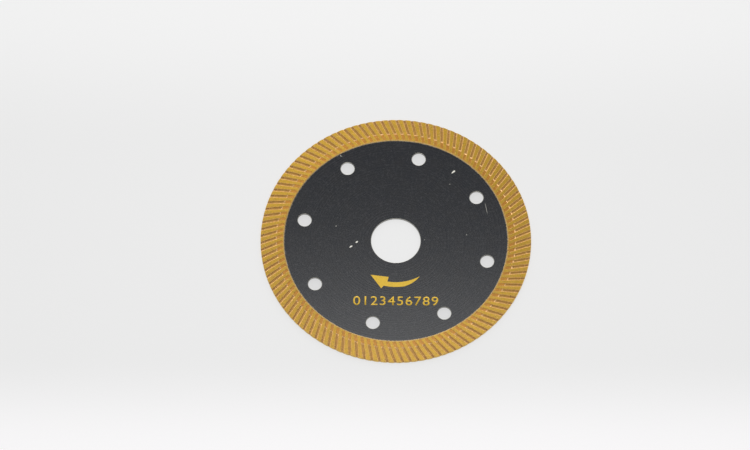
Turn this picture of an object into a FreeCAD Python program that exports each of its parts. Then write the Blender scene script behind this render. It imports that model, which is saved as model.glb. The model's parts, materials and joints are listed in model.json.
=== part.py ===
# Diamond saw blade: a thin steel disc with a sintered diamond rim.
# Millimetres, bore centre at the origin, blade flat in XY, +Z out of the upper face.
import FreeCAD, Part
import os
import Sketcher
from FreeCAD import Rotation, Vector

doc = FreeCAD.newDocument("DiamondSawBlade")

# Driving sizes: every length is in millimetres and every angle in degrees.
SIZES = {
    # whole blade
    "blade_diameter": 110.0,
    "bore_diameter": 20.0,
    # steel disc
    "core_thickness": 0.8,
    "hole_count": 8,
    "hole_diameter": 5.5,
    "hole_inset": 7.2,
    "first_hole_angle": 31.0,
    # sintered ring, which grips the disc's edge
    "rim_height": 9.55,
    "rim_grip": 2.55,
    "skin_thickness": 0.15,
    "inner_lip_height": 0.02,
    "inner_bevel_width": 0.35,
    # slanted grooves in both faces of the ring
    "sector_count": 10,
    "grooves_per_sector": 11,
    "first_groove_angle": 1.94,
    "groove_lean": 19.88,
    "groove_width": 1.2,
    "groove_overrun": 1.0,
    # shallow inner channel and deep outer channel of each groove
    "inner_channel_margin": 0.25,
    "inner_channel_skin": 0.05,
    "outer_channel_margin": 0.45,
    "outer_channel_web": 0.4,
}

sheet = doc.addObject("Spreadsheet::Sheet", "Sizes")
for row, (name, value) in enumerate(SIZES.items(), start=1):
    sheet.set(f"A{row}", name)
    sheet.set(f"B{row}", str(value))
    sheet.setAlias(f"B{row}", name)
doc.recompute()

# Lengths and angles that follow from the driving sizes.
BORE_RADIUS = "(Sizes.bore_diameter / 2)"
BLADE_RADIUS = "(Sizes.blade_diameter / 2)"
HALF_CORE = "(Sizes.core_thickness / 2)"
HALF_RIM = f"({HALF_CORE} + Sizes.skin_thickness)"
RIM_INNER_RADIUS = f"({BLADE_RADIUS} - Sizes.rim_height)"
CORE_EDGE_RADIUS = f"({RIM_INNER_RADIUS} + Sizes.rim_grip)"
HOLE_CIRCLE_RADIUS = f"({RIM_INNER_RADIUS} - Sizes.hole_inset)"
LIP_TOP = f"({HALF_CORE} + Sizes.inner_lip_height)"
BEVEL_RADIUS = f"({RIM_INNER_RADIUS} + Sizes.inner_bevel_width)"
INNER_CHANNEL_RADIUS = f"({BEVEL_RADIUS} + Sizes.inner_channel_margin)"
OUTER_CHANNEL_RADIUS = f"({CORE_EDGE_RADIUS} + Sizes.outer_channel_margin)"
INNER_CHANNEL_DEPTH = "(Sizes.skin_thickness - Sizes.inner_channel_skin)"
OUTER_CHANNEL_DEPTH = f"({HALF_RIM} - Sizes.outer_channel_web / 2)"
GROOVE_COUNT = "(Sizes.sector_count * Sizes.grooves_per_sector)"
GROOVE_OFFSET = f"({BLADE_RADIUS} * sin(Sizes.groove_lean * 1 deg))"
GROOVE_TURN = ("(Sizes.first_groove_angle * 1 deg"
               f" + asin({GROOVE_OFFSET} / {OUTER_CHANNEL_RADIUS}))")


def origin_feature(body, role):
    """Returns the plane or axis of the body's own origin that has this role."""
    return next(item for item in body.Origin.OriginFeatures if item.Role == role)


def new_body(label):
    body = doc.addObject("PartDesign::Body", label)
    body.Label = label
    return body


def new_sketch(body, name, plane):
    sketch = body.newObject("Sketcher::SketchObject", name)
    sketch.AttachmentSupport = [(origin_feature(body, plane), "")]
    sketch.MapMode = "FlatFace"
    return sketch


def add_circle(sketch, name, diameter):
    """Draws a circle of the bound diameter and returns its index."""
    size = float(sketch.evalExpression(diameter))
    circle = Part.Circle(Vector(0, 0, 0), Vector(0, 0, 1), size / 2)
    index = sketch.addGeometry(circle, False)
    rule = sketch.addConstraint(Sketcher.Constraint("Diameter", index, size))
    sketch.renameConstraint(rule, name)
    sketch.setExpression(f"Constraints.{name}", diameter)
    return index


def centre_circle(sketch, index):
    sketch.addConstraint(Sketcher.Constraint("Coincident", index, 3, -1, 1))


def add_outline(sketch, corners):
    """Draws a closed outline of straight lines.

    Each corner is a pair of expressions, its distance from the sketch's
    origin along X and along Y.
    """
    points = [Vector(float(sketch.evalExpression(x)), float(sketch.evalExpression(y)), 0)
              for x, y in corners]
    count = len(points)
    lines = [sketch.addGeometry(Part.LineSegment(points[i], points[(i + 1) % count]), False)
             for i in range(count)]
    for i in range(count):
        following = lines[(i + 1) % count]
        sketch.addConstraint(Sketcher.Constraint("Coincident", lines[i], 2, following, 1))
    for i, (corner, point) in enumerate(zip(corners, points)):
        for kind, expression, value in zip(("DistanceX", "DistanceY"), corner, point):
            rule = sketch.addConstraint(
                Sketcher.Constraint(kind, -1, 1, lines[i], 1, value))
            name = f"{kind}{i}"
            sketch.renameConstraint(rule, name)
            sketch.setExpression(f"Constraints.{name}", expression)


def polar_pattern(body, name, count, features=None):
    """Repeats features, or the whole solid so far, evenly round the blade's axis."""
    pattern = body.newObject("PartDesign::PolarPattern", name)
    if features:
        pattern.Originals = features
    else:
        pattern.TransformMode = "Whole shape"
    pattern.Axis = (origin_feature(body, "Z_Axis"), [""])
    pattern.Angle = 360
    pattern.setExpression("Occurrences", count)
    body.Tip = pattern
    return pattern


def require_cut(before, feature):
    """Stops if a cutting feature has removed no material."""
    doc.recompute()
    if not feature.Shape.Volume < before:
        raise RuntimeError(f"{feature.Name} cuts nothing")


def pad_flat_ring(body, name, inner_radius, outer_radius):
    """Adds a flat ring of the disc's thickness, whose faces stay faces of their own."""
    sketch = new_sketch(body, f"{name}Sketch", "XY_Plane")
    centre_circle(sketch, add_circle(sketch, "inside", f"2 * {inner_radius}"))
    centre_circle(sketch, add_circle(sketch, "outside", f"2 * {outer_radius}"))
    ring = body.newObject("PartDesign::Pad", name)
    ring.Profile = sketch
    ring.SideType = "Symmetric"
    ring.Refine = False
    ring.setExpression("Length", "Sizes.core_thickness")
    doc.recompute()
    return ring


def make_steel_core():
    """Steel disc, with a bore for the arbor and a ring of cooling holes.

    The black coat ends at the ring. So each side of the disc has two faces in
    one plane: the coated one, which a clamping flange lies on, and the bare
    band that the ring grips.
    """
    body = new_body("steel_core")
    pad_flat_ring(body, "CoatedDisc", BORE_RADIUS, RIM_INNER_RADIUS)
    disc = pad_flat_ring(body, "GrippedBand", RIM_INNER_RADIUS, CORE_EDGE_RADIUS)

    hole_sketch = new_sketch(body, "HoleSketch", "XY_Plane")
    hole_sketch.setExpression("AttachmentOffset.Rotation.Angle", "Sizes.first_hole_angle")
    hole = add_circle(hole_sketch, "hole", "Sizes.hole_diameter")
    reach = float(hole_sketch.evalExpression(HOLE_CIRCLE_RADIUS))
    hole_sketch.moveGeometry(hole, 3, Vector(reach, 0, 0), False)
    hole_sketch.addConstraint(Sketcher.Constraint("PointOnObject", hole, 3, -1))
    rule = hole_sketch.addConstraint(
        Sketcher.Constraint("DistanceX", -1, 1, hole, 3, reach))
    hole_sketch.renameConstraint(rule, "reach")
    hole_sketch.setExpression("Constraints.reach", HOLE_CIRCLE_RADIUS)

    solid_volume = disc.Shape.Volume
    cooling_hole = body.newObject("PartDesign::Pocket", "CoolingHole")
    cooling_hole.Profile = hole_sketch
    cooling_hole.SideType = "Symmetric"
    cooling_hole.Refine = False
    cooling_hole.setExpression("Length", "2 * Sizes.core_thickness")
    require_cut(solid_volume, cooling_hole)

    one_hole_volume = cooling_hole.Shape.Volume
    holes = polar_pattern(body, "CoolingHoles", "Sizes.hole_count", [cooling_hole])
    holes.Refine = False
    require_cut(one_hole_volume, holes)
    return body


def cut_channel(body, name, start_radius, depth):
    """Cuts one channel of a groove into the upper face, open at the blade's edge.

    The groove is straight. Its line passes the blade's centre at the groove
    offset, so that it runs anticlockwise on its way outwards.
    """
    sketch = new_sketch(body, f"{name}Sketch", "XY_Plane")
    height = float(sketch.evalExpression(HALF_RIM))
    turn = float(sketch.evalExpression(GROOVE_TURN))
    sketch.AttachmentOffset = FreeCAD.Placement(
        Vector(0, 0, height), Rotation(Vector(0, 0, 1), turn))
    sketch.setExpression("AttachmentOffset.Base.z", HALF_RIM)
    sketch.setExpression("AttachmentOffset.Rotation.Angle", GROOVE_TURN)
    start = f"sqrt({start_radius}^2 - {GROOVE_OFFSET}^2)"
    end = f"({BLADE_RADIUS} + Sizes.groove_overrun)"
    outer_side = f"-({GROOVE_OFFSET} + Sizes.groove_width / 2)"
    inner_side = f"-({GROOVE_OFFSET} - Sizes.groove_width / 2)"
    add_outline(sketch, [(start, outer_side), (end, outer_side),
                         (end, inner_side), (start, inner_side)])

    before = body.Tip.Shape.Volume
    pocket = body.newObject("PartDesign::Pocket", name)
    pocket.Profile = sketch
    pocket.setExpression("Length", depth)
    require_cut(before, pocket)
    return pocket


def make_diamond_rim():
    """Sintered ring that grips the disc's edge, with slanted grooves in both faces.

    One sector is modelled by its upper half. The lower half is its mirror
    image, and the sector is then repeated round the ring. Grooves that lean
    across a sector's ends are cut there too, so that the sectors join.
    """
    body = new_body("diamond_rim")

    section_sketch = new_sketch(body, "SectionSketch", "XZ_Plane")
    add_outline(section_sketch, [
        (CORE_EDGE_RADIUS, "0"),
        (CORE_EDGE_RADIUS, HALF_CORE),
        (RIM_INNER_RADIUS, HALF_CORE),
        (RIM_INNER_RADIUS, LIP_TOP),
        (BEVEL_RADIUS, HALF_RIM),
        (BLADE_RADIUS, HALF_RIM),
        (BLADE_RADIUS, "0"),
    ])
    ring = body.newObject("PartDesign::Revolution", "RingSector")
    ring.Profile = section_sketch
    ring.ReferenceAxis = (origin_feature(body, "Z_Axis"), [""])
    ring.Midplane = True
    ring.setExpression("Angle", "360 / Sizes.sector_count")
    doc.recompute()

    one_groove = [
        cut_channel(body, "InnerChannel", INNER_CHANNEL_RADIUS, INNER_CHANNEL_DEPTH),
        cut_channel(body, "OuterChannel", OUTER_CHANNEL_RADIUS, OUTER_CHANNEL_DEPTH),
    ]
    one_groove_volume = body.Tip.Shape.Volume
    grooves = polar_pattern(body, "Grooves", GROOVE_COUNT, one_groove)
    require_cut(one_groove_volume, grooves)

    both_faces = body.newObject("PartDesign::Mirrored", "BothFaces")
    both_faces.TransformMode = "Whole shape"
    both_faces.MirrorPlane = (origin_feature(body, "XY_Plane"), [""])
    body.Tip = both_faces
    doc.recompute()

    polar_pattern(body, "WholeRing", "Sizes.sector_count")
    doc.recompute()
    return body


def check_document():
    """Stops unless every object of the document is computed."""
    failed = [item.Name for item in doc.Objects
              if "Invalid" in item.State or "Error" in item.State]
    if failed:
        raise RuntimeError(f"not computed: {failed}")


def export_body(body):
    """Writes one sub-part's solid to its file, if it is one valid solid."""
    shape = body.Shape
    if shape.isNull() or not shape.isValid() or len(shape.Solids) != 1:
        raise RuntimeError(f"{body.Label} is not one valid solid")
    shape.exportStep(f"parts/{body.Label}.step")
    print(f"{body.Label}: {shape.Volume:.1f} mm3, {len(shape.Faces)} faces")


bodies = [make_steel_core(), make_diamond_rim()]
doc.recompute()
check_document()
os.makedirs("parts", exist_ok=True)
for body in bodies:
    export_body(body)
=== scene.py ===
# %% [markdown]
# # A diamond saw blade
# This blade cuts tile and stone in a small hand-held machine. It is two pieces: a thin steel disc
# with a satin black coat, and a gold ring of sintered metal, full of diamond grit, pressed onto the
# disc's edge. The packed model already holds both at their real size, so the first cell loads them
# and notes the box that they fill. Everything made here has to stay inside that box.

# %% Load the packed model
import json
import math

import bmesh
import bpy
from mathutils import Matrix, Vector


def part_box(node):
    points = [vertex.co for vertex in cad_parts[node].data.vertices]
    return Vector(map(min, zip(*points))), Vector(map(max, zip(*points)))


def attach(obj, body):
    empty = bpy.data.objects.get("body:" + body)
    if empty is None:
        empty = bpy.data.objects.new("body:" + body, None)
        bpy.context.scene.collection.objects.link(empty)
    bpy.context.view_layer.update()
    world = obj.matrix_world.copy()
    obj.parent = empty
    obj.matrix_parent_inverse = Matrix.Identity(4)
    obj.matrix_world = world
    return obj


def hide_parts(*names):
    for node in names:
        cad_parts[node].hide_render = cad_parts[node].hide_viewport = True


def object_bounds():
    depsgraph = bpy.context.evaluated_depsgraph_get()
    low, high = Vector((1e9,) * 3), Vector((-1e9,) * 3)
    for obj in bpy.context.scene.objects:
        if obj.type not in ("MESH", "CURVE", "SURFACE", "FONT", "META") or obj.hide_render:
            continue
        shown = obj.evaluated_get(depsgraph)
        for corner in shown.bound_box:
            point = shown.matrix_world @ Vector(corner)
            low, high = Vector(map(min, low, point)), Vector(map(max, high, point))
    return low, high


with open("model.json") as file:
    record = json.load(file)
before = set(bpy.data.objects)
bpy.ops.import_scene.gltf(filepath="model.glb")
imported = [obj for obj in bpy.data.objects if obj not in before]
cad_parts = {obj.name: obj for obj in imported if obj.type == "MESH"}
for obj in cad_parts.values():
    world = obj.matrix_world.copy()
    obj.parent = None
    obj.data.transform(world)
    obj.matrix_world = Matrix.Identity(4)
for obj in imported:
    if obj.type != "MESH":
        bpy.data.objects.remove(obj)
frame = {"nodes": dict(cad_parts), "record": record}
cad_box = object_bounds()
MM = 0.001
print("nodes:", sorted(frame["nodes"]), "box in mm:", [round(x / MM, 2) for x in cad_box[1]])

# %% [markdown]
# ## Camera
# The blade lies flat and is seen from the front and well above. Its far side looks hardly smaller
# than its near side, so the lens is a long one and the camera stands far away. A camera can be aimed
# with a constraint, but here its three axes are written straight into its matrix, because the photo
# is also turned by a fraction of a degree and that turn is easy to add to two vectors.

# %% Camera
CAMERA_LENS = 700.0
CAMERA_DISTANCE = 5932.0 * MM
CAMERA_ELEVATION = math.radians(63.38)
CAMERA_ROLL = math.radians(-0.16)
CAMERA_AIM = Vector((-8.49 * MM, 7.25 * MM, 0.0))

back = Vector((0.0, -math.cos(CAMERA_ELEVATION), math.sin(CAMERA_ELEVATION)))
right = Vector((1.0, 0.0, 0.0))
up = back.cross(right)
camera_x = right * math.cos(CAMERA_ROLL) - up * math.sin(CAMERA_ROLL)
camera_y = right * math.sin(CAMERA_ROLL) + up * math.cos(CAMERA_ROLL)

camera = bpy.data.objects.new("camera", bpy.data.cameras.new("camera"))
camera.data.lens = CAMERA_LENS
camera.data.clip_end = 2 * CAMERA_DISTANCE
camera.matrix_world = Matrix.Translation(CAMERA_AIM + back * CAMERA_DISTANCE) @ Matrix(
    (camera_x, camera_y, back)).transposed().to_4x4()
bpy.context.scene.collection.objects.link(camera)
bpy.context.scene.camera = camera
print("camera stands", round(CAMERA_DISTANCE, 3), "m from the blade")

# %% [markdown]
# ## Shader sums
# A material is a tree of nodes. Adding each Math node by hand hides what is being worked out, so
# one small class wraps a node's output and lets it be used in sums: `1 - mask` then adds its own
# Math node. `step` is a smooth ramp between two values, and most masks below are made with it.

# %% Sums on node outputs
class Signal:
    """A node's output that can be used in sums."""

    def __init__(self, shader, socket):
        self.shader = shader
        self.socket = socket

    def math(self, operation, *values):
        inputs = dict(enumerate((self, *values)))
        return self.shader.node("ShaderNodeMath", {"operation": operation}, inputs)

    def __add__(self, other):
        return self.math("ADD", other)

    def __sub__(self, other):
        return self.math("SUBTRACT", other)

    def __rsub__(self, other):
        return self.math("MULTIPLY_ADD", -1.0, other)

    def __mul__(self, other):
        return self.math("MULTIPLY", other)

    __radd__ = __add__
    __rmul__ = __mul__

    def step(self, start, end):
        """Runs smoothly from 0 where the value is start to 1 where it is end."""
        return self.shader.node("ShaderNodeMapRange", {"interpolation_type": "SMOOTHSTEP"},
                                {"Value": self, "From Min": start, "From Max": end})


print("besides sums, a signal offers:", [name for name in vars(Signal) if name[0] != "_"])

# %% [markdown]
# Every other node comes from `Shader.node`, which takes the node's type, its settings, and what goes
# into its sockets. The short methods after it add the kinds of node that come up again and again.

# %% Nodes of a tree
class Shader:
    """A node tree, with short ways to add the nodes that are used here."""

    def __init__(self, tree):
        self.tree = tree

    def node(self, kind, settings, inputs, output=0):
        node = self.tree.nodes.new(kind)
        for name, value in settings.items():
            setattr(node, name, value)
        for key, value in inputs.items():
            self.feed(node.inputs[key], value)
        return Signal(self, node.outputs[output])

    def feed(self, socket, value):
        if isinstance(value, Signal):
            self.tree.links.new(value.socket, socket)
        else:
            socket.default_value = value

    def mix(self, share, first, second):
        """Blends two colours: share 0 is the first and share 1 the second."""
        return self.node("ShaderNodeMix", {"data_type": "RGBA"}, {0: share, 6: first, 7: second}, 2)

    def axes(self, vector):
        return [self.node("ShaderNodeSeparateXYZ", {}, {0: vector}, axis) for axis in range(3)]

    def vector(self, x, y, z):
        return self.node("ShaderNodeCombineXYZ", {}, {0: x, 1: y, 2: z})

    def length(self, vector):
        return self.node("ShaderNodeVectorMath", {"operation": "LENGTH"}, {0: vector}, "Value")

    def noise(self, vector, scale, detail=2.0):
        return self.node("ShaderNodeTexNoise", {}, {"Vector": vector, "Scale": scale, "Detail": detail})


print("a shader offers:", [name for name in vars(Shader) if name[0] != "_"])

# %% [markdown]
# A finish is a material and the place on the piece that its pattern hangs on. That place is always
# Object coordinates, so the pattern keeps its real size and stays where it is in every view. Colours
# that were judged on a screen are turned into light first, because a shader works with light.

# %% A finish and a colour
class Finish(Shader):
    """One material: its node tree, its surface shader and the place on the piece."""

    def __init__(self, name, surface):
        self.material = bpy.data.materials.new(name)
        self.material.use_nodes = True
        super().__init__(self.material.node_tree)
        self.surface = self.tree.nodes["Principled BSDF"]
        self.set(surface)
        self.place = self.node("ShaderNodeTexCoord", {}, {}, "Object")

    def set(self, surface):
        """Sets sockets of the surface shader, by name, to values or signals."""
        for name, value in surface.items():
            self.feed(self.surface.inputs[name], value)

    def bump(self, height, distance):
        """Gives the surface a relief: height 1 stands this distance above height 0."""
        relief = self.node("ShaderNodeBump", {}, {"Height": height, "Distance": distance})
        self.set({"Normal": relief})


def colour(red, green, blue):
    """Turns a colour as a screen shows it, 0 to 255, into the light that a shader works with."""
    shares = [part / 255 for part in (red, green, blue)]
    return (*[s / 12.92 if s <= 0.04045 else ((s + 0.055) / 1.055) ** 2.4 for s in shares], 1.0)


print("a mid grey of 128 is", round(colour(128, 128, 128)[0], 3), "in light")

# %% [markdown]
# ## Table
# The blade lies on a pale matt table, a little paler at the back and at the front. A table that is
# only lit goes darker wherever the light falls off, and lamps that make it white make the gold too
# bright as well. So part of what the camera sees of it is its own pale colour, by the Light Path
# node, and the rest is lit and keeps the blade's shadow. The same share is used for reflections, so
# that metal shows the same pale table. A table with a colour of its own hardly goes dark inside the
# small holes, where little light falls, so it is painted a little greyer in a band under them. It
# lies a hair below the blade, so that no face of the ring lies in one plane with it.

# %% Table
TABLE_SIZE = 6.0
TABLE_GAP = 0.02 * MM
OWN_COLOUR_SHARE = 0.76
TABLE_MIDDLE = colour(240, 240, 240)
TABLE_BACK = colour(248, 248, 248)
TABLE_FRONT = colour(255, 254, 255)
PAPER_FLECK = colour(225, 224, 220)
UNDER_HOLES = colour(226, 226, 226)
BACK_RAMP = (40 * MM, 110 * MM)
FRONT_RAMP = (-50 * MM, -95 * MM)
BAND_INSIDE = 33 * MM
BAND_OUTSIDE = 44 * MM
BAND_BLUR = 1 * MM
PAPER_SCALE = 900.0
PAPER_SHARE = 0.04
PAPER_RELIEF = 0.01 * MM

table_top = cad_box[0].z - TABLE_GAP
bpy.ops.mesh.primitive_plane_add(size=TABLE_SIZE, location=(0.0, 0.0, table_top))
table = bpy.context.object
table.name = "table"
paint = Finish("pale_table", {"Roughness": 0.9, "Specular IOR Level": 0.0})
table_x, table_y, _ = paint.axes(paint.place)
paper_grain = paint.noise(paint.place, PAPER_SCALE, 3.0)
from_middle = paint.length(paint.vector(table_x, table_y, 0.0))
under_holes = (from_middle.step(BAND_INSIDE, BAND_INSIDE + BAND_BLUR)
               * from_middle.step(BAND_OUTSIDE, BAND_OUTSIDE - BAND_BLUR))
table_colour = paint.mix(table_y.step(*FRONT_RAMP), TABLE_MIDDLE, TABLE_FRONT)
table_colour = paint.mix(table_y.step(*BACK_RAMP), table_colour, TABLE_BACK)
table_colour = paint.mix(paper_grain * PAPER_SHARE, table_colour, PAPER_FLECK)
table_colour = paint.mix(under_holes, table_colour, UNDER_HOLES)
paint.set({"Base Color": table_colour})
paint.bump(paper_grain, PAPER_RELIEF)

ray_kinds = ("Is Camera Ray", "Is Glossy Ray", "Is Transmission Ray")
seen = sum(paint.node("ShaderNodeLightPath", {}, {}, kind) for kind in ray_kinds)
own_light = paint.node("ShaderNodeEmission", {}, {"Color": table_colour})
lit = Signal(paint, paint.surface.outputs[0])
both = paint.node("ShaderNodeMixShader", {}, {0: seen * OWN_COLOUR_SHARE, 1: lit, 2: own_light})
paint.feed(paint.tree.nodes["Material Output"].inputs["Surface"], both)
table.data.materials.append(paint.material)
print("table at z =", round(table_top / MM, 3), "mm")

# %% [markdown]
# ## Light
# The light is that of a small studio with a white wall behind the blade. The sky is pale near the
# horizon at the back, dim at the front and grey overhead, and a brighter strip stands low at the
# back, all but its left end. Groove walls that face that strip come out pale, and those that face
# the camera stay dark. One soft box hangs close over the blade. The black coat mirrors the box's
# back edge, and so it runs from dark at the back to grey at the front.

# %% Light
SKY_TOP = 0.36
SKY_BACK = 1.4
SKY_FRONT = 0.48
SKY_STRIP = 1.5
BOX_PLACE = Vector((-0.008, 0.037, 0.30))
BOX_WIDTH = 0.18
BOX_LENGTH = 0.16
BOX_POWER = 0.25

# Where each change in the sky starts and ends, as the direction's share of one axis, from -1 to 1.
SKY_BACKWARDS = (0.0, 0.85)
SKY_UPWARDS = (0.45, 0.9)
STRIP_BACKWARDS = (0.80, 0.97)
STRIP_LEFT_END = (-0.6, -0.1)

world = bpy.data.worlds.new("studio_sky")
world.use_nodes = True
sky = Shader(world.node_tree)
sky_x, sky_y, sky_z = sky.axes(sky.node("ShaderNodeTexCoord", {}, {}, "Generated"))
horizon = sky_y.step(*SKY_BACKWARDS) * (SKY_BACK - SKY_FRONT) + SKY_FRONT
strip = sky_y.step(*STRIP_BACKWARDS) * sky_x.step(*STRIP_LEFT_END)
horizon = strip * SKY_STRIP + horizon
overhead = sky_z.step(*SKY_UPWARDS)
sky.feed(sky.tree.nodes["Background"].inputs["Color"], (1.0, 1.0, 1.0, 1.0))
sky.feed(sky.tree.nodes["Background"].inputs["Strength"], overhead * (SKY_TOP - horizon) + horizon)
bpy.context.scene.world = world

box = bpy.data.objects.new("soft_box", bpy.data.lights.new("soft_box", "AREA"))
box.data.shape = "RECTANGLE"
box.data.size = BOX_WIDTH
box.data.size_y = BOX_LENGTH
box.data.energy = BOX_POWER
box.location = BOX_PLACE
bpy.context.scene.collection.objects.link(box)
bpy.context.scene.view_settings.view_transform = "Standard"
print("soft box hangs", round(BOX_PLACE.z, 2), "m above the blade")

# %% [markdown]
# ## The diamond rim: one half-cell
# The ring has 110 slanted grooves in each face. A groove is straight, but its line passes the
# blade's centre at a distance, and it has steps: shallow over the disc's edge, deep beyond it, and
# deepest at the cutting edge. Cutting 220 grooves with booleans would be slow and untidy. The ring
# repeats, so this makes one half-cell, the upper half of one groove with half a land on each side,
# and copies it. First come its sizes. Most are read from the packed model's own boxes.

# %% Sizes of the rim
rim_low, rim_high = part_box("diamond_rim")
core_low, core_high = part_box("steel_core")
BLADE_RADIUS = rim_high.x
HALF_RIM = rim_high.z
CORE_EDGE_RADIUS = core_high.x
HALF_CORE = core_high.z
RIM_HEIGHT = 9.55 * MM
RIM_INNER_RADIUS = BLADE_RADIUS - RIM_HEIGHT
INNER_LIP_HEIGHT = 0.02 * MM
LIP_TOP = HALF_CORE + INNER_LIP_HEIGHT
BEVEL_WIDTH = 0.35 * MM
EDGE_BREAK = 0.06 * MM

GROOVE_COUNT = 110
PITCH = math.tau / GROOVE_COUNT
GROOVE_OFFSET = 18.7 * MM
GROOVE_TURN = math.radians(24.64)

# (distance from the blade's centre, height) of each corner of the upper half of the section
SECTION = [
    (CORE_EDGE_RADIUS, 0.0),
    (CORE_EDGE_RADIUS, HALF_CORE),
    (RIM_INNER_RADIUS, HALF_CORE),
    (RIM_INNER_RADIUS, LIP_TOP),
    (RIM_INNER_RADIUS + BEVEL_WIDTH, HALF_RIM),
    (BLADE_RADIUS - EDGE_BREAK, HALF_RIM),
    (BLADE_RADIUS, HALF_RIM - EDGE_BREAK),
    (BLADE_RADIUS, 0.0),
]
print("ring in mm:", round(RIM_INNER_RADIUS / MM, 2), "to", round(BLADE_RADIUS / MM, 2))

# %% [markdown]
# The half-cell starts as the upper half of the ring's cross-section, which `spin` turns into the
# skin of a short piece of ring. A slanted cell reaches over more than its own pitch, so the section
# is spun through three of them.

# %% Spin the section
STEPS_PER_PITCH = 4
PITCHES_SPUN = 3
SAME_POINT = 1e-7


def spin_section():
    """Spins the half-section through enough pitches to hold one slanted cell."""
    mesh = bmesh.new()
    start = GROOVE_TURN - math.asin(GROOVE_OFFSET / RIM_INNER_RADIUS) - PITCH
    corners = [mesh.verts.new((r * math.cos(start), r * math.sin(start), z)) for r, z in SECTION]
    edges = [mesh.edges.new(pair) for pair in zip(corners, corners[1:])]
    bmesh.ops.spin(mesh, geom=corners + edges, cent=(0, 0, 0), axis=(0, 0, 1),
                   angle=PITCHES_SPUN * PITCH, steps=PITCHES_SPUN * STEPS_PER_PITCH)
    bmesh.ops.remove_doubles(mesh, verts=mesh.verts, dist=SAME_POINT)
    return mesh


cell = spin_section()
print("spun section:", len(cell.faces), "faces")

# %% [markdown]
# The two sides of the cell are the middle lines of its lands. Both are the same slanted line, one
# pitch apart, so the copies will meet. `bisect_plane` is the tool for it: it cuts along a plane and
# can clear away what lies beyond.

# %% Trim the cell to one pitch
def groove_axes(turn):
    """Returns the directions along and across a groove that is turned by this angle."""
    along = Vector((math.cos(turn), math.sin(turn), 0.0))
    across = Vector((-math.sin(turn), math.cos(turn), 0.0))
    return along, across


def everything(mesh):
    """Returns all points, edges and faces of a mesh."""
    return mesh.verts[:] + mesh.edges[:] + mesh.faces[:]


for side in (-1, 1):
    along, across = groove_axes(GROOVE_TURN + side * PITCH / 2)
    bmesh.ops.bisect_plane(cell, geom=everything(cell), dist=SAME_POINT,
                           plane_co=across * -GROOVE_OFFSET, plane_no=across * side,
                           clear_outer=True)
print("one half-cell:", len(cell.faces), "faces")

# %% [markdown]
# Now the groove gets its sizes. Its walls all have one slope, so a deeper floor is a narrower one.
# The table below is the groove's floor from its inner end outwards: where it bends, and how deep it
# is there.

# %% Sizes of a groove
GROOVE_WIDTH = 1.4 * MM
WALL_SLOPE = 0.62
INNER_END = 46.0 * MM
STEP_RADIUS = 48.45 * MM
POCKET_RADIUS = 53.35 * MM
INNER_DEPTH = 0.11 * MM
CHANNEL_DEPTH = 0.31 * MM
POCKET_DEPTH = 0.37 * MM
STEP_RUN = 0.22 * MM
LEDGE_RUN = 0.36 * MM


def run(radius):
    """Returns how far along its line a groove crosses this radius."""
    return math.sqrt(radius ** 2 - GROOVE_OFFSET ** 2)


FLOOR = [
    (run(INNER_END), 0.0),
    (run(INNER_END) + STEP_RUN / 2, INNER_DEPTH),
    (run(STEP_RADIUS), INNER_DEPTH),
    (run(STEP_RADIUS) + LEDGE_RUN, CHANNEL_DEPTH),
    (run(POCKET_RADIUS), CHANNEL_DEPTH),
    (run(POCKET_RADIUS) + STEP_RUN, POCKET_DEPTH),
    (run(BLADE_RADIUS) + STEP_RUN, POCKET_DEPTH),
]
print("groove's floor in mm:", [(round(s / MM, 2), round(d / MM, 2)) for s, d in FLOOR])

# %% [markdown]
# The groove is marked out with cuts, as a knife tool would do in the editor: first its two sides,
# then each bend of its floor, and last the slanting lines where walls and floor meet. The cuts go
# only through faces of the groove, so the lands stay whole.

# %% Mark out the groove
ALONG, ACROSS = groove_axes(GROOVE_TURN)


def groove_place(point):
    """Returns how far a point is along the groove's line, and how far beside it."""
    return point.dot(ALONG), point.dot(ACROSS) + GROOVE_OFFSET


def on_line(distance, beside):
    """Returns the point at this place along and beside the groove's line."""
    return ALONG * distance + ACROSS * (beside - GROOVE_OFFSET)


def upper_faces(mesh, start, end, half_width):
    """Returns the outer faces whose middle lies in this stretch of the groove."""
    found = []
    for face in mesh.faces:
        middle = face.calc_center_median()
        distance, beside = groove_place(middle)
        shown = middle.z > HALF_CORE + EDGE_BREAK or middle.length > BLADE_RADIUS - EDGE_BREAK
        if shown and start < distance < end and abs(beside) < half_width:
            found.append(face)
    return found


def cut(mesh, faces, point, normal):
    """Cuts these faces along a plane and leaves both sides."""
    edges = {edge for face in faces for edge in face.edges}
    verts = {vert for face in faces for vert in face.verts}
    bmesh.ops.bisect_plane(mesh, geom=list(verts) + list(edges) + list(faces), dist=SAME_POINT,
                           plane_co=point, plane_no=normal)


start, end = FLOOR[0][0], FLOOR[-1][0]
lead_in = start - GROOVE_WIDTH
half_width = GROOVE_WIDTH / 2
for side in (-1, 1):
    nearby = upper_faces(cell, lead_in, end, GROOVE_WIDTH)
    cut(cell, nearby, on_line(start, side * half_width), ACROSS)
for distance, depth in FLOOR[:-1]:
    cut(cell, upper_faces(cell, lead_in, end, half_width), on_line(distance, 0), ALONG)
for (near, near_depth), (far, far_depth) in zip(FLOOR, FLOOR[1:]):
    for side in (-1, 1):
        near_edge = on_line(near, side * (half_width - near_depth / WALL_SLOPE))
        far_edge = on_line(far, side * (half_width - far_depth / WALL_SLOPE))
        normal = (far_edge - near_edge).cross(Vector((0.0, 0.0, 1.0)))
        cut(cell, upper_faces(cell, near, far, half_width), near_edge, normal)
print("marked out:", len(cell.faces), "faces")

# %% [markdown]
# Each point inside the outline then drops by the groove's depth there: the wall's depth or the
# floor's, whichever is less. Because every crease was cut first, the walls, floors and sloping
# steps come out flat.

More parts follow.
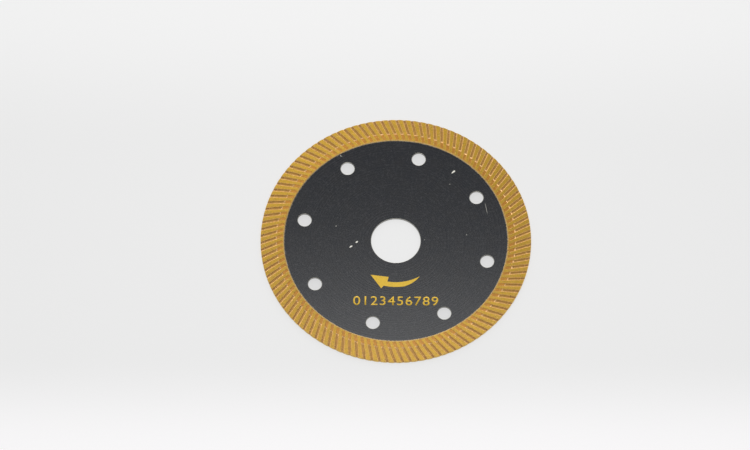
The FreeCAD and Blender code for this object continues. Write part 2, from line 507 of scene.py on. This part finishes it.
# %% Sink the groove
def floor_depth(distance):
    """Returns how deep the groove's floor is, this far along its line."""
    for (near, near_depth), (far, far_depth) in zip(FLOOR, FLOOR[1:]):
        if distance <= far:
            share = (distance - near) / (far - near)
            return near_depth + share * (far_depth - near_depth)
    return FLOOR[-1][1]


sunk = 0
for vert in cell.verts:
    distance, beside = groove_place(vert.co)
    wall_depth = (half_width - abs(beside)) * WALL_SLOPE
    depth = min(wall_depth, max(0.0, floor_depth(distance)))
    if depth > SAME_POINT and vert.co.z > HALF_CORE + EDGE_BREAK:
        vert.co.z -= depth
        sunk += 1
print("points sunk:", sunk)

# %% [markdown]
# The lower face is the mirror image of the upper one, and the whole cell is then copied 109 times
# round the axis. `spin` does that with `use_duplicate`. Merging the doubles closes the seams, and
# the normals are recalculated because the mirrored half is inside out. The finished mesh then
# becomes a piece of the scene. The helper counts the edges that don't lie between two faces, since
# a closed piece has none.

# %% Mirror the cell and repeat it round the ring
SEAM_WIDTH = 2e-6


def make_piece(mesh, name):
    """Turns a finished mesh into an object of the scene, prints its measures and frees it."""
    piece = bpy.data.objects.new(name, bpy.data.meshes.new(name))
    mesh.to_mesh(piece.data)
    open_edges = sum(not edge.is_manifold for edge in mesh.edges)
    print(name + ":", len(mesh.faces), "faces,", open_edges, "open edges,",
          round(mesh.calc_volume() / MM ** 3, 1), "mm3")
    mesh.free()
    bpy.context.scene.collection.objects.link(piece)
    return piece


bmesh.ops.mirror(cell, geom=everything(cell), axis="Z", merge_dist=SAME_POINT)
bmesh.ops.spin(cell, geom=everything(cell), cent=(0, 0, 0), axis=(0, 0, 1),
               angle=PITCH * (GROOVE_COUNT - 1), steps=GROOVE_COUNT - 1, use_duplicate=True)
bmesh.ops.remove_doubles(cell, verts=cell.verts, dist=SEAM_WIDTH)
bmesh.ops.recalc_face_normals(cell, faces=cell.faces)
rim = make_piece(cell, "grooved_rim")
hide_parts("diamond_rim")
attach(rim, "root")

# %% [markdown]
# ## Sintered gold finish
# Brass-coloured metal powder and diamond grit are pressed and baked into the ring, and its flat
# lands are then ground. The grinding leaves fine lines that run round the ring, and those stretch
# the highlight across it. A constant Anisotropic does that with no texture, and a constant rotation
# turns the stretched highlight a little. A weak, rough coat adds some gloss without colour. Colour
# will follow the shape, so the depth below the lands and the distance from the centre are worked out
# from Object coordinates.

# %% Sintered gold finish
gold = Finish("sintered_gold", {"Roughness": 0.45, "Anisotropic": 0.85,
                                "Anisotropic Rotation": 0.18,
                                "Coat Weight": 0.45, "Coat Roughness": 0.35})
x, y, z = gold.axes(gold.place)
radius = gold.length(gold.vector(x, y, 0.0))
depth = HALF_RIM - z.math("ABSOLUTE")
BAND_FADE = 0.05 * MM


def band(start, end):
    """Returns 1 between two distances from the blade's axis and 0 elsewhere."""
    return radius.step(start - BAND_FADE, start + BAND_FADE) * radius.step(end + BAND_FADE, end - BAND_FADE)


print("steps in the groove, mm from the centre:", [round(r / MM, 2) for r in (STEP_RADIUS, POCKET_RADIUS)])

# %% [markdown]
# The lands are gold. The sunk floors are browner, and the shallow inner ones more orange. The upper
# part of each groove wall and the sloping steps in the floor are painted pale: a painted highlight,
# which comes out bright where they face the light. The cutting edge is painted brighter, as painted
# light that makes up for the shade it lies in. The bevel by the disc is painted a paler, greyer gold.
# The steps are also the most metallic part, so they glint most where they face the light.

# %% Colours of the ring by depth and distance
LAND = (0.61, 0.352, 0.012, 1.0)
CHANNEL = (0.50, 0.240, 0.038, 1.0)
INNER_CHANNEL = (0.57, 0.235, 0.008, 1.0)
POCKET = (0.49, 0.240, 0.050, 1.0)
# Painted highlight on the upper part of each groove wall.
WALL_HIGHLIGHT = (0.98, 0.58, 0.18, 1.0)
# Painted highlight on the sloping steps in the groove floor.
LEDGE_HIGHLIGHT = (0.95, 0.60, 0.28, 1.0)
# Painted light: the cutting edge is painted brighter to make up for the shade it lies in.
EDGE_PAINTED_LIGHT = (0.95, 0.62, 0.10, 1.0)
# A paler, greyer gold painted on the bevel by the disc.
PALE_BEVEL = (0.56, 0.36, 0.12, 1.0)
# The share of each wall's depth, from the top, that gets the painted highlight.
WALL_HIGHLIGHT_SHARE = 0.4
OUTER_LEDGE_SHARE = 0.6
BLEND = 0.02 * MM
CHANNEL_FADE = 0.3 * MM
POCKET_FADE = 0.2 * MM
PALE_BEVEL_ENDS = (RIM_INNER_RADIUS + 0.50 * MM, RIM_INNER_RADIUS + 0.3 * MM)
METALLIC_FLOOR = 0.4
METALLIC_LAND = 0.10
METALLIC_LEDGE = 0.6

level = radius.step(STEP_RADIUS, STEP_RADIUS + LEDGE_RUN) * (CHANNEL_DEPTH - INNER_DEPTH) + INNER_DEPTH
level = radius.step(POCKET_RADIUS, POCKET_RADIUS + STEP_RUN) * (POCKET_DEPTH - CHANNEL_DEPTH) + level
on_floor = (depth - level * WALL_HIGHLIGHT_SHARE).step(-BLEND, BLEND)
on_rim = radius.step(BLADE_RADIUS - 2 * BLEND, BLADE_RADIUS - BLEND)
on_land = depth.step(BLEND, BLEND / 4).math("MAXIMUM", on_rim)
outer_ledge = band(POCKET_RADIUS, POCKET_RADIUS + STEP_RUN) * OUTER_LEDGE_SHARE
ledges = band(STEP_RADIUS - BAND_FADE, STEP_RADIUS + LEDGE_RUN + BAND_FADE) + outer_ledge
on_bevel = radius.step(*PALE_BEVEL_ENDS)

in_channel = radius.step(STEP_RADIUS, STEP_RADIUS + CHANNEL_FADE)
in_pocket = radius.step(POCKET_RADIUS, POCKET_RADIUS + POCKET_FADE)
floor_colour = gold.mix(in_channel, INNER_CHANNEL, CHANNEL)
floor_colour = gold.mix(in_pocket, floor_colour, POCKET)
# The sloping steps get their painted highlight.
floor_colour = gold.mix(ledges, floor_colour, LEDGE_HIGHLIGHT)
# The upper part of each wall gets its painted highlight.
base = gold.mix(on_floor, WALL_HIGHLIGHT, floor_colour)
base = gold.mix(on_land, base, LAND)
# The cutting edge is painted brighter, as painted light against its shade.
base = gold.mix(on_rim, base, EDGE_PAINTED_LIGHT)
# The bevel by the disc is painted a paler, greyer gold.
base = gold.mix(on_bevel, base, PALE_BEVEL)
metallic = (1 - on_land) * ledges * METALLIC_LEDGE + on_land * METALLIC_LAND + METALLIC_FLOOR
gold.set({"Metallic": metallic})
print("bright part of the wall of a deep channel, mm:", round(CHANNEL_DEPTH * WALL_HIGHLIGHT_SHARE / MM, 2))

# %% [markdown]
# The grit shows as a fine speckle. A fine noise darkens the metal in grains and a coarser one
# lightens it in patches. A third is cut low for dark pits, where grains have fallen out, and a
# fourth is cut high for pale grains. The first three also give the surface a little relief.

# %% Grit and pits
MOTTLE_SCALE = 900.0
GRAIN_SCALE = 1600.0
PIT_SCALE = 1700.0
GRIT_SCALE = 2200.0
DARK_GRAIN = (0.25, 0.14, 0.02, 1.0)
PALE_PATCH = (0.66, 0.40, 0.07, 1.0)
PIT = (0.12, 0.065, 0.02, 1.0)
GRIT = (0.85, 0.65, 0.30, 1.0)
BOND_RELIEF = 0.012 * MM

# Between which values of its noise each mask runs from 0 to 1, and how strongly it then shows.
GRAIN_SPAN, GRAIN_SHARE, DARKENING = (0.42, 0.62), 0.60, 0.55
PATCH_SPAN, PATCH_SHARE = (0.5, 0.72), 0.3
PIT_SPAN, PIT_SHARE = (0.32, 0.25), 0.75
GRIT_SPAN, GRIT_SHARE = (0.68, 0.75), 0.6
PATCH_HEIGHT, PIT_DEPTH = 0.6, 0.8

mottle = gold.noise(gold.place, MOTTLE_SCALE, 3.0)
grain = gold.noise(gold.place, GRAIN_SCALE, 3.0)
pits = gold.noise(gold.place, PIT_SCALE, 1.0).step(*PIT_SPAN)
grit = gold.noise(gold.vector(y, z, x), GRIT_SCALE, 1.0).step(*GRIT_SPAN)
darker = gold.mix(DARKENING, base, DARK_GRAIN)
base = gold.mix(grain.step(*GRAIN_SPAN) * GRAIN_SHARE, base, darker)
base = gold.mix(mottle.step(*PATCH_SPAN) * PATCH_SHARE, base, PALE_PATCH)
base = gold.mix(pits * PIT_SHARE, base, PIT)
base = gold.mix(grit * GRIT_SHARE, base, GRIT)
gold.set({"Base Color": base})
gold.bump(grain + mottle * PATCH_HEIGHT - pits * PIT_DEPTH, BOND_RELIEF)
rim.data.materials.append(gold.material)
print("sintered gold:", len(gold.tree.nodes), "nodes")

# %% [markdown]
# ## The disc
# The disc is punched from sheet steel and turned, and its bore and holes have broken edges that
# catch the light. The CAD disc has sharp ones. So the disc is made again with finer circles. Each
# wall starts as its section, which is spun right round. Two flat faces with holes in them would be
# hard to bevel, but here they only have to be filled in between the circles.

# %% Spin the walls of the bore and the holes
BORE_RADIUS = frame["record"]["mounts"][0]["dims"]["r_mm"] * MM
HOLE_RADIUS = 2.75 * MM
HOLE_COUNT = 8
HOLE_INSET = 7.2 * MM
HOLE_CIRCLE_RADIUS = RIM_INNER_RADIUS - HOLE_INSET
FIRST_HOLE_ANGLE = math.radians(31.0)
HOLE_EDGE_BREAK = 0.2 * MM
# A broken edge is a rounded one. Its middle point lies this share of the break from either face.
MIDDLE_OF_BREAK = 1 - math.sqrt(0.5)
BORE_STEPS = 180
HOLE_STEPS = 72
EDGE_STEPS = 240


def spin_wall(mesh, radius, edge_break, steps, place=Vector((0.0, 0.0, 0.0))):
    """Spins the section of a wall right round. A break of 0 leaves its edges sharp."""
    half = [(radius + edge_break, HALF_CORE),
            (radius + edge_break * MIDDLE_OF_BREAK, HALF_CORE - edge_break * MIDDLE_OF_BREAK),
            (radius, HALF_CORE - edge_break)]
    if not edge_break:
        half = half[-1:]
    section = half + [(r, -z) for r, z in reversed(half)]
    corners = [mesh.verts.new(place + Vector((r, 0.0, z))) for r, z in section]
    edges = [mesh.edges.new(pair) for pair in zip(corners, corners[1:])]
    bmesh.ops.spin(mesh, geom=corners + edges, cent=place, axis=(0, 0, 1), angle=math.tau,
                   steps=steps, use_merge=True)


disc = bmesh.new()
spin_wall(disc, BORE_RADIUS, HOLE_EDGE_BREAK, BORE_STEPS)
spin_wall(disc, CORE_EDGE_RADIUS, 0.0, EDGE_STEPS)
for number in range(HOLE_COUNT):
    turn = FIRST_HOLE_ANGLE + number * math.tau / HOLE_COUNT
    middle = HOLE_CIRCLE_RADIUS * Vector((math.cos(turn), math.sin(turn), 0.0))
    spin_wall(disc, HOLE_RADIUS, HOLE_EDGE_BREAK, HOLE_STEPS, middle)
print("walls:", len(disc.faces), "faces")

# %% [markdown]
# `triangle_fill` fills a flat region that circles bound, holes and all, so it runs once on the
# circles of the upper face and once on those of the lower one.

# %% Fill the two faces of the disc
for side in (1, -1):
    circles = [edge for edge in disc.edges if edge.is_boundary
               and all(side * vert.co.z > HALF_CORE - SAME_POINT for vert in edge.verts)]
    bmesh.ops.triangle_fill(disc, edges=circles, use_beauty=True, normal=(0, 0, side))
bmesh.ops.recalc_face_normals(disc, faces=disc.faces)
core = make_piece(disc, "coated_disc")
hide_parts("steel_core")
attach(core, "root")

# %% [markdown]
# ## Black coat
# The coat is a satin black that lies on faint turning marks, 1.1 mm apart. A sine wave of the
# distance from the centre gives the rings. Real ones are not that even. So one noise, stretched
# round the blade, moves them in and out, and another lets them fade in places. The coat itself is
# clouded a little, flecked with a dark grey, and has a fine grain.

# %% Black coat
BLACK = (0.005, 0.007, 0.012, 1.0)
CLOUD_BLACK = (0.011, 0.011, 0.013, 1.0)
FLECK_GREY = (0.024, 0.025, 0.030, 1.0)
MARK_SPACING = 1.1 * MM
MARK_WANDER = 12.0
WANDER_SCALES = (300.0, 12.0)
FADE_SCALES = (250.0, 30.0)
FADE_SPAN = (0.3, 0.7)
FAINT_MARK = 0.2
CLOUD_SCALE = 220.0
COAT_GRAIN_SCALE = 3000.0
FLECK_SCALE = 1350.0
CLOUD_SPAN, CLOUD_SHARE = (0.35, 0.7), 0.5
FLECK_SPAN, FLECK_SHARE = (0.50, 0.66), 0.8
COAT_ROUGHNESS, MARK_ROUGHNESS, GRAIN_ROUGHNESS = 0.24, 0.02, 0.06
MARK_HEIGHT, GRAIN_HEIGHT = 0.6, 0.3
COAT_RELIEF = 0.0042 * MM

coat = Finish("black_coat", {"Specular IOR Level": 0.56})
x, y, z = coat.axes(coat.place)
radius = coat.length(coat.vector(x, y, 0.0))


def ring_noise(across, along):
    """Returns a noise with one scale across the turning marks and another along them."""
    return coat.noise(coat.vector(radius * across, x * along, y * along), 1.0, 1.0)


wander = ring_noise(*WANDER_SCALES)
deep = ring_noise(*FADE_SCALES).step(*FADE_SPAN)
turning = (radius * (math.tau / MARK_SPACING) + wander * MARK_WANDER).math("SINE")
turning = turning * (deep * (1 - FAINT_MARK) + FAINT_MARK)
cloud = coat.noise(coat.place, CLOUD_SCALE, 2.0)
grain = coat.noise(coat.place, COAT_GRAIN_SCALE, 2.0)
fleck = coat.noise(coat.place, FLECK_SCALE, 2.0)
black = coat.mix(cloud.step(*CLOUD_SPAN) * CLOUD_SHARE, BLACK, CLOUD_BLACK)
black = coat.mix(fleck.step(*FLECK_SPAN) * FLECK_SHARE, black, FLECK_GREY)
roughness = turning * MARK_ROUGHNESS + grain * GRAIN_ROUGHNESS + COAT_ROUGHNESS
coat.set({"Roughness": roughness})
coat.bump(turning * MARK_HEIGHT + grain * GRAIN_HEIGHT, COAT_RELIEF)
print("turning marks between bore and ring:", round((RIM_INNER_RADIUS - BORE_RADIUS) / MARK_SPACING))

# %% [markdown]
# The disc has been handled. It has a few small chips, a hairline scratch, a scuff near the ring and
# a thin broken line of pale dust where the ring was pressed on. Each mark is an oval: a Mapping node
# moves, turns and stretches space so that the oval becomes a circle of radius 1.

# %% Chips, scratch, scuff and dust
# (x, y, half length, half width, turn in degrees, strength) of each mark, in mm
MARKS = [
    (23.60, 31.55, 0.75, 0.50, 35, 1.0),
    (23.15, 31.12, 0.85, 0.30, 42, 1.0),
    (21.90, 25.74, 0.26, 0.24, 0, 0.4),
    (-18.25, -2.78, 0.90, 0.40, 35, 1.0),
    (-15.88, -0.67, 0.75, 0.40, 40, 1.0),
    (-24.34, 6.50, 0.30, 0.26, 0, 0.5),
    (28.79, 2.70, 0.30, 0.26, 0, 0.4),
    (11.68, 0.37, 0.26, 0.24, 0, 0.3),
    (36.76, 14.65, 3.30, 0.11, -79, 0.45),
    (-22.28, 38.40, 0.45, 0.14, 0, 0.6),
    (-22.60, 38.75, 0.14, 0.42, 0, 0.6),
]
MARK_DEPTH = 0.1 * MM
WORN = colour(250, 248, 236)
DUST = colour(150, 146, 140)
DUST_STARTS = (45.10 * MM, 45.25 * MM)
DUST_ENDS = (45.55 * MM, 45.42 * MM)
DUST_SCALE = 1500.0
DUST_SPAN, DUST_SHARE = (0.42, 0.60), 0.45


def mark(finish, x_mm, y_mm, half_length, half_width, turn):
    """Returns 1 inside an oval mark on the upper face and 0 outside it."""
    oval = finish.node("ShaderNodeMapping", {"vector_type": "TEXTURE"}, {
        "Vector": finish.place, "Location": (x_mm * MM, y_mm * MM, HALF_CORE),
        "Rotation": (0.0, 0.0, math.radians(turn)),
        "Scale": (half_length * MM, half_width * MM, MARK_DEPTH)})
    return finish.length(oval).step(1.0, 0.5)


worn = 0.0
for *shape, strength in MARKS:
    worn = mark(coat, *shape) * strength + worn
dust_line = radius.step(*DUST_STARTS) * radius.step(*DUST_ENDS)
dust = dust_line * coat.noise(coat.place, DUST_SCALE, 1.0).step(*DUST_SPAN)
black = coat.mix(worn, black, WORN)
black = coat.mix(dust * DUST_SHARE, black, DUST)
print("marks on the disc:", len(MARKS))

# %% [markdown]
# The walls of the bore and the holes are painted a dark grey, not the coat's black, and their broken
# edges are polished steel that catches the light. Height picks both out: the coat ends just below
# each face, and the broken edges end a little deeper.

# %% Bare steel in the bore and the holes
# A dark grey painted on the walls of the bore and the holes.
DARK_WALL_GREY = (0.09, 0.09, 0.10, 1.0)
POLISHED_STEEL = (0.46, 0.45, 0.40, 1.0)
COAT_ENDS = (HALF_CORE - 0.005 * MM, HALF_CORE - 0.03 * MM)
BREAK_ENDS = (HALF_CORE - HOLE_EDGE_BREAK - 0.02 * MM, HALF_CORE - HOLE_EDGE_BREAK + 0.04 * MM)
INSIDE_RING = (46 * MM, 45 * MM)

height = z.math("ABSOLUTE")
in_hole = height.step(*COAT_ENDS) * radius.step(*INSIDE_RING)
on_break = in_hole * height.step(*BREAK_ENDS)
black = coat.mix(in_hole, black, DARK_WALL_GREY)
black = coat.mix(on_break, black, POLISHED_STEEL)
coat.set({"Base Color": black, "Metallic": on_break})
core.data.materials.append(coat.material)
print("black coat:", len(coat.tree.nodes), "nodes")

# %% [markdown]
# ## Ink
# The arrow and the digits are printed in one thin layer. A flat picture would need a texture, so
# each is a flat mesh that is given the thickness of ink. It starts just under the surface of the
# coat, so that no gap shows, and stands a hair above it.

# %% Lay ink on the disc
INK_HEIGHT = 0.015 * MM
INK_DEPTH = 0.005 * MM


def lay_on_disc(mesh, name):
    """Gives flat faces the thickness of ink, on the upper face, and makes them a piece."""
    for vert in mesh.verts:
        vert.co.z = HALF_CORE - INK_DEPTH
    raised = bmesh.ops.extrude_face_region(mesh, geom=mesh.faces[:])["geom"]
    lifted = [item for item in raised if isinstance(item, bmesh.types.BMVert)]
    bmesh.ops.translate(mesh, verts=lifted, vec=(0, 0, INK_DEPTH + INK_HEIGHT))
    bmesh.ops.recalc_face_normals(mesh, faces=mesh.faces)
    piece = make_piece(mesh, name)
    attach(piece, "root")
    return piece


print("ink stands", round(INK_HEIGHT / MM, 3), "mm above the coat")

# %% [markdown]
# ## Arrow
# A curved arrow in gold ink shows which way the blade turns. Its tail is a band between two arcs
# that run together to a point. Three corners make the head. The points of the arcs are spun from
# one vertex each. The outer arc is then drawn in towards the inner one, slowly at first and faster
# near the tip, which tapers the tail.

# %% Arrow
# Angles are in degrees round the blade's axis, and the head's corners are (x, y) in mm.
TAIL_INNER_RADIUS = 18.9 * MM
TAIL_OUTER_RADIUS = 21.05 * MM
TAIL_TIP_ANGLE = -59.0
TAPER_START_ANGLE = -82.0
TAPER_POWER = 1.5
INNER_NOTCH_ANGLE = -100.4
OUTER_NOTCH_ANGLE = -103.5
TAIL_STEPS = 24
HEAD_CORNERS = [(-5.90, -21.69), (-10.22, -15.55), (-2.87, -16.52)]
ARROW_SAME_POINT = 1e-6


def spin_arc(mesh, arc_radius, first_angle, last_angle, steps):
    """Spins one point into an arc and returns its points in order."""
    first = Vector((math.cos(math.radians(first_angle)), math.sin(math.radians(first_angle)), 0.0))
    start = mesh.verts.new(first * arc_radius)
    before = set(mesh.verts)
    bmesh.ops.spin(mesh, geom=[start], cent=(0, 0, 0), axis=(0, 0, 1),
                   angle=math.radians(last_angle - first_angle), steps=steps)
    return [start] + [vert for vert in mesh.verts if vert not in before]


ink = bmesh.new()
inner_arc = spin_arc(ink, TAIL_INNER_RADIUS, INNER_NOTCH_ANGLE, TAIL_TIP_ANGLE, TAIL_STEPS)
outer_arc = spin_arc(ink, TAIL_OUTER_RADIUS, OUTER_NOTCH_ANGLE, TAIL_TIP_ANGLE, TAIL_STEPS)
for vert in outer_arc:
    angle = math.degrees(math.atan2(vert.co.y, vert.co.x))
    share = max(0.0, (angle - TAPER_START_ANGLE) / (TAIL_TIP_ANGLE - TAPER_START_ANGLE))
    vert.co *= 1 - share ** TAPER_POWER * (1 - TAIL_INNER_RADIUS / TAIL_OUTER_RADIUS)
corners = [ink.verts.new((x_mm * MM, y_mm * MM, 0.0)) for x_mm, y_mm in HEAD_CORNERS]
path = [outer_arc[0], *corners, inner_arc[0]]
for pair in zip(path, path[1:]):
    ink.edges.new(pair)
bmesh.ops.remove_doubles(ink, verts=ink.verts, dist=ARROW_SAME_POINT)
bmesh.ops.triangle_fill(ink, edges=ink.edges, use_beauty=True, normal=(0, 0, 1))
arrow = lay_on_disc(ink, "turning_arrow")

# %% [markdown]
# ## Digits
# Below the arrow stands one line of marking in the same ink. Here it is a plain row of digits. A
# text object draws them, with its strokes swollen a little. It is turned into a mesh first, because
# letters are curves, and only then stretched to the line's width and height and put in its place.

# %% Digits
DIGITS = "0123456789"
LINE_MIDDLE = Vector((0.01, -27.35, 0.0)) * MM
LINE_WIDTH = 34.5 * MM
LINE_HEIGHT = 4.05 * MM
LINE_TURN = math.radians(-0.35)
LETTER_SPACING = 1.12
STROKE_SWELL = 0.004
TEXT_SAME_POINT = 1e-5

text = bpy.data.objects.new("digits", bpy.data.curves.new("digits", "FONT"))
text.data.body = DIGITS
text.data.space_character = LETTER_SPACING
text.data.offset = STROKE_SWELL
flat = bpy.data.meshes.new_from_object(text)
bpy.data.objects.remove(text)
ink = bmesh.new()
ink.from_mesh(flat)
bmesh.ops.remove_doubles(ink, verts=ink.verts, dist=TEXT_SAME_POINT)
low = Vector([min(vert.co[axis] for vert in ink.verts) for axis in range(3)])
high = Vector([max(vert.co[axis] for vert in ink.verts) for axis in range(3)])
wide = LINE_WIDTH / (high.x - low.x)
tall = LINE_HEIGHT / (high.y - low.y)
line_place = (Matrix.Translation(LINE_MIDDLE) @ Matrix.Rotation(LINE_TURN, 4, "Z")
              @ Matrix.Diagonal((wide, tall, 1.0, 1.0)) @ Matrix.Translation(-(low + high) / 2))
bmesh.ops.transform(ink, matrix=line_place, verts=ink.verts)
digits = lay_on_disc(ink, "plain_digits")
print("digits are wider than the text object's by", round(wide / tall, 3))

# %% [markdown]
# ## Gold ink
# The ink is a matt golden yellow. It is a thin layer, so it is duller in fine spots, where the coat
# under it shows through a little.

# %% Gold ink
INK_GOLD = colour(238, 196, 62)
INK_THIN = colour(206, 168, 66)
INK_SPOT_SCALE = 1400.0
INK_SPOT_SPAN, INK_SPOT_SHARE = (0.5, 0.75), 0.6
INK_RELIEF = 0.004 * MM

ink_finish = Finish("gold_ink", {"Roughness": 0.5, "Specular IOR Level": 0.3})
thin = ink_finish.noise(ink_finish.place, INK_SPOT_SCALE, 3.0).step(*INK_SPOT_SPAN)
ink_finish.set({"Base Color": ink_finish.mix(thin * INK_SPOT_SHARE, INK_GOLD, INK_THIN)})
ink_finish.bump(thin, INK_RELIEF)
for piece in (arrow, digits):
    piece.data.materials.append(ink_finish.material)
print("gold ink:", len(ink_finish.tree.nodes), "nodes")

# %% [markdown]
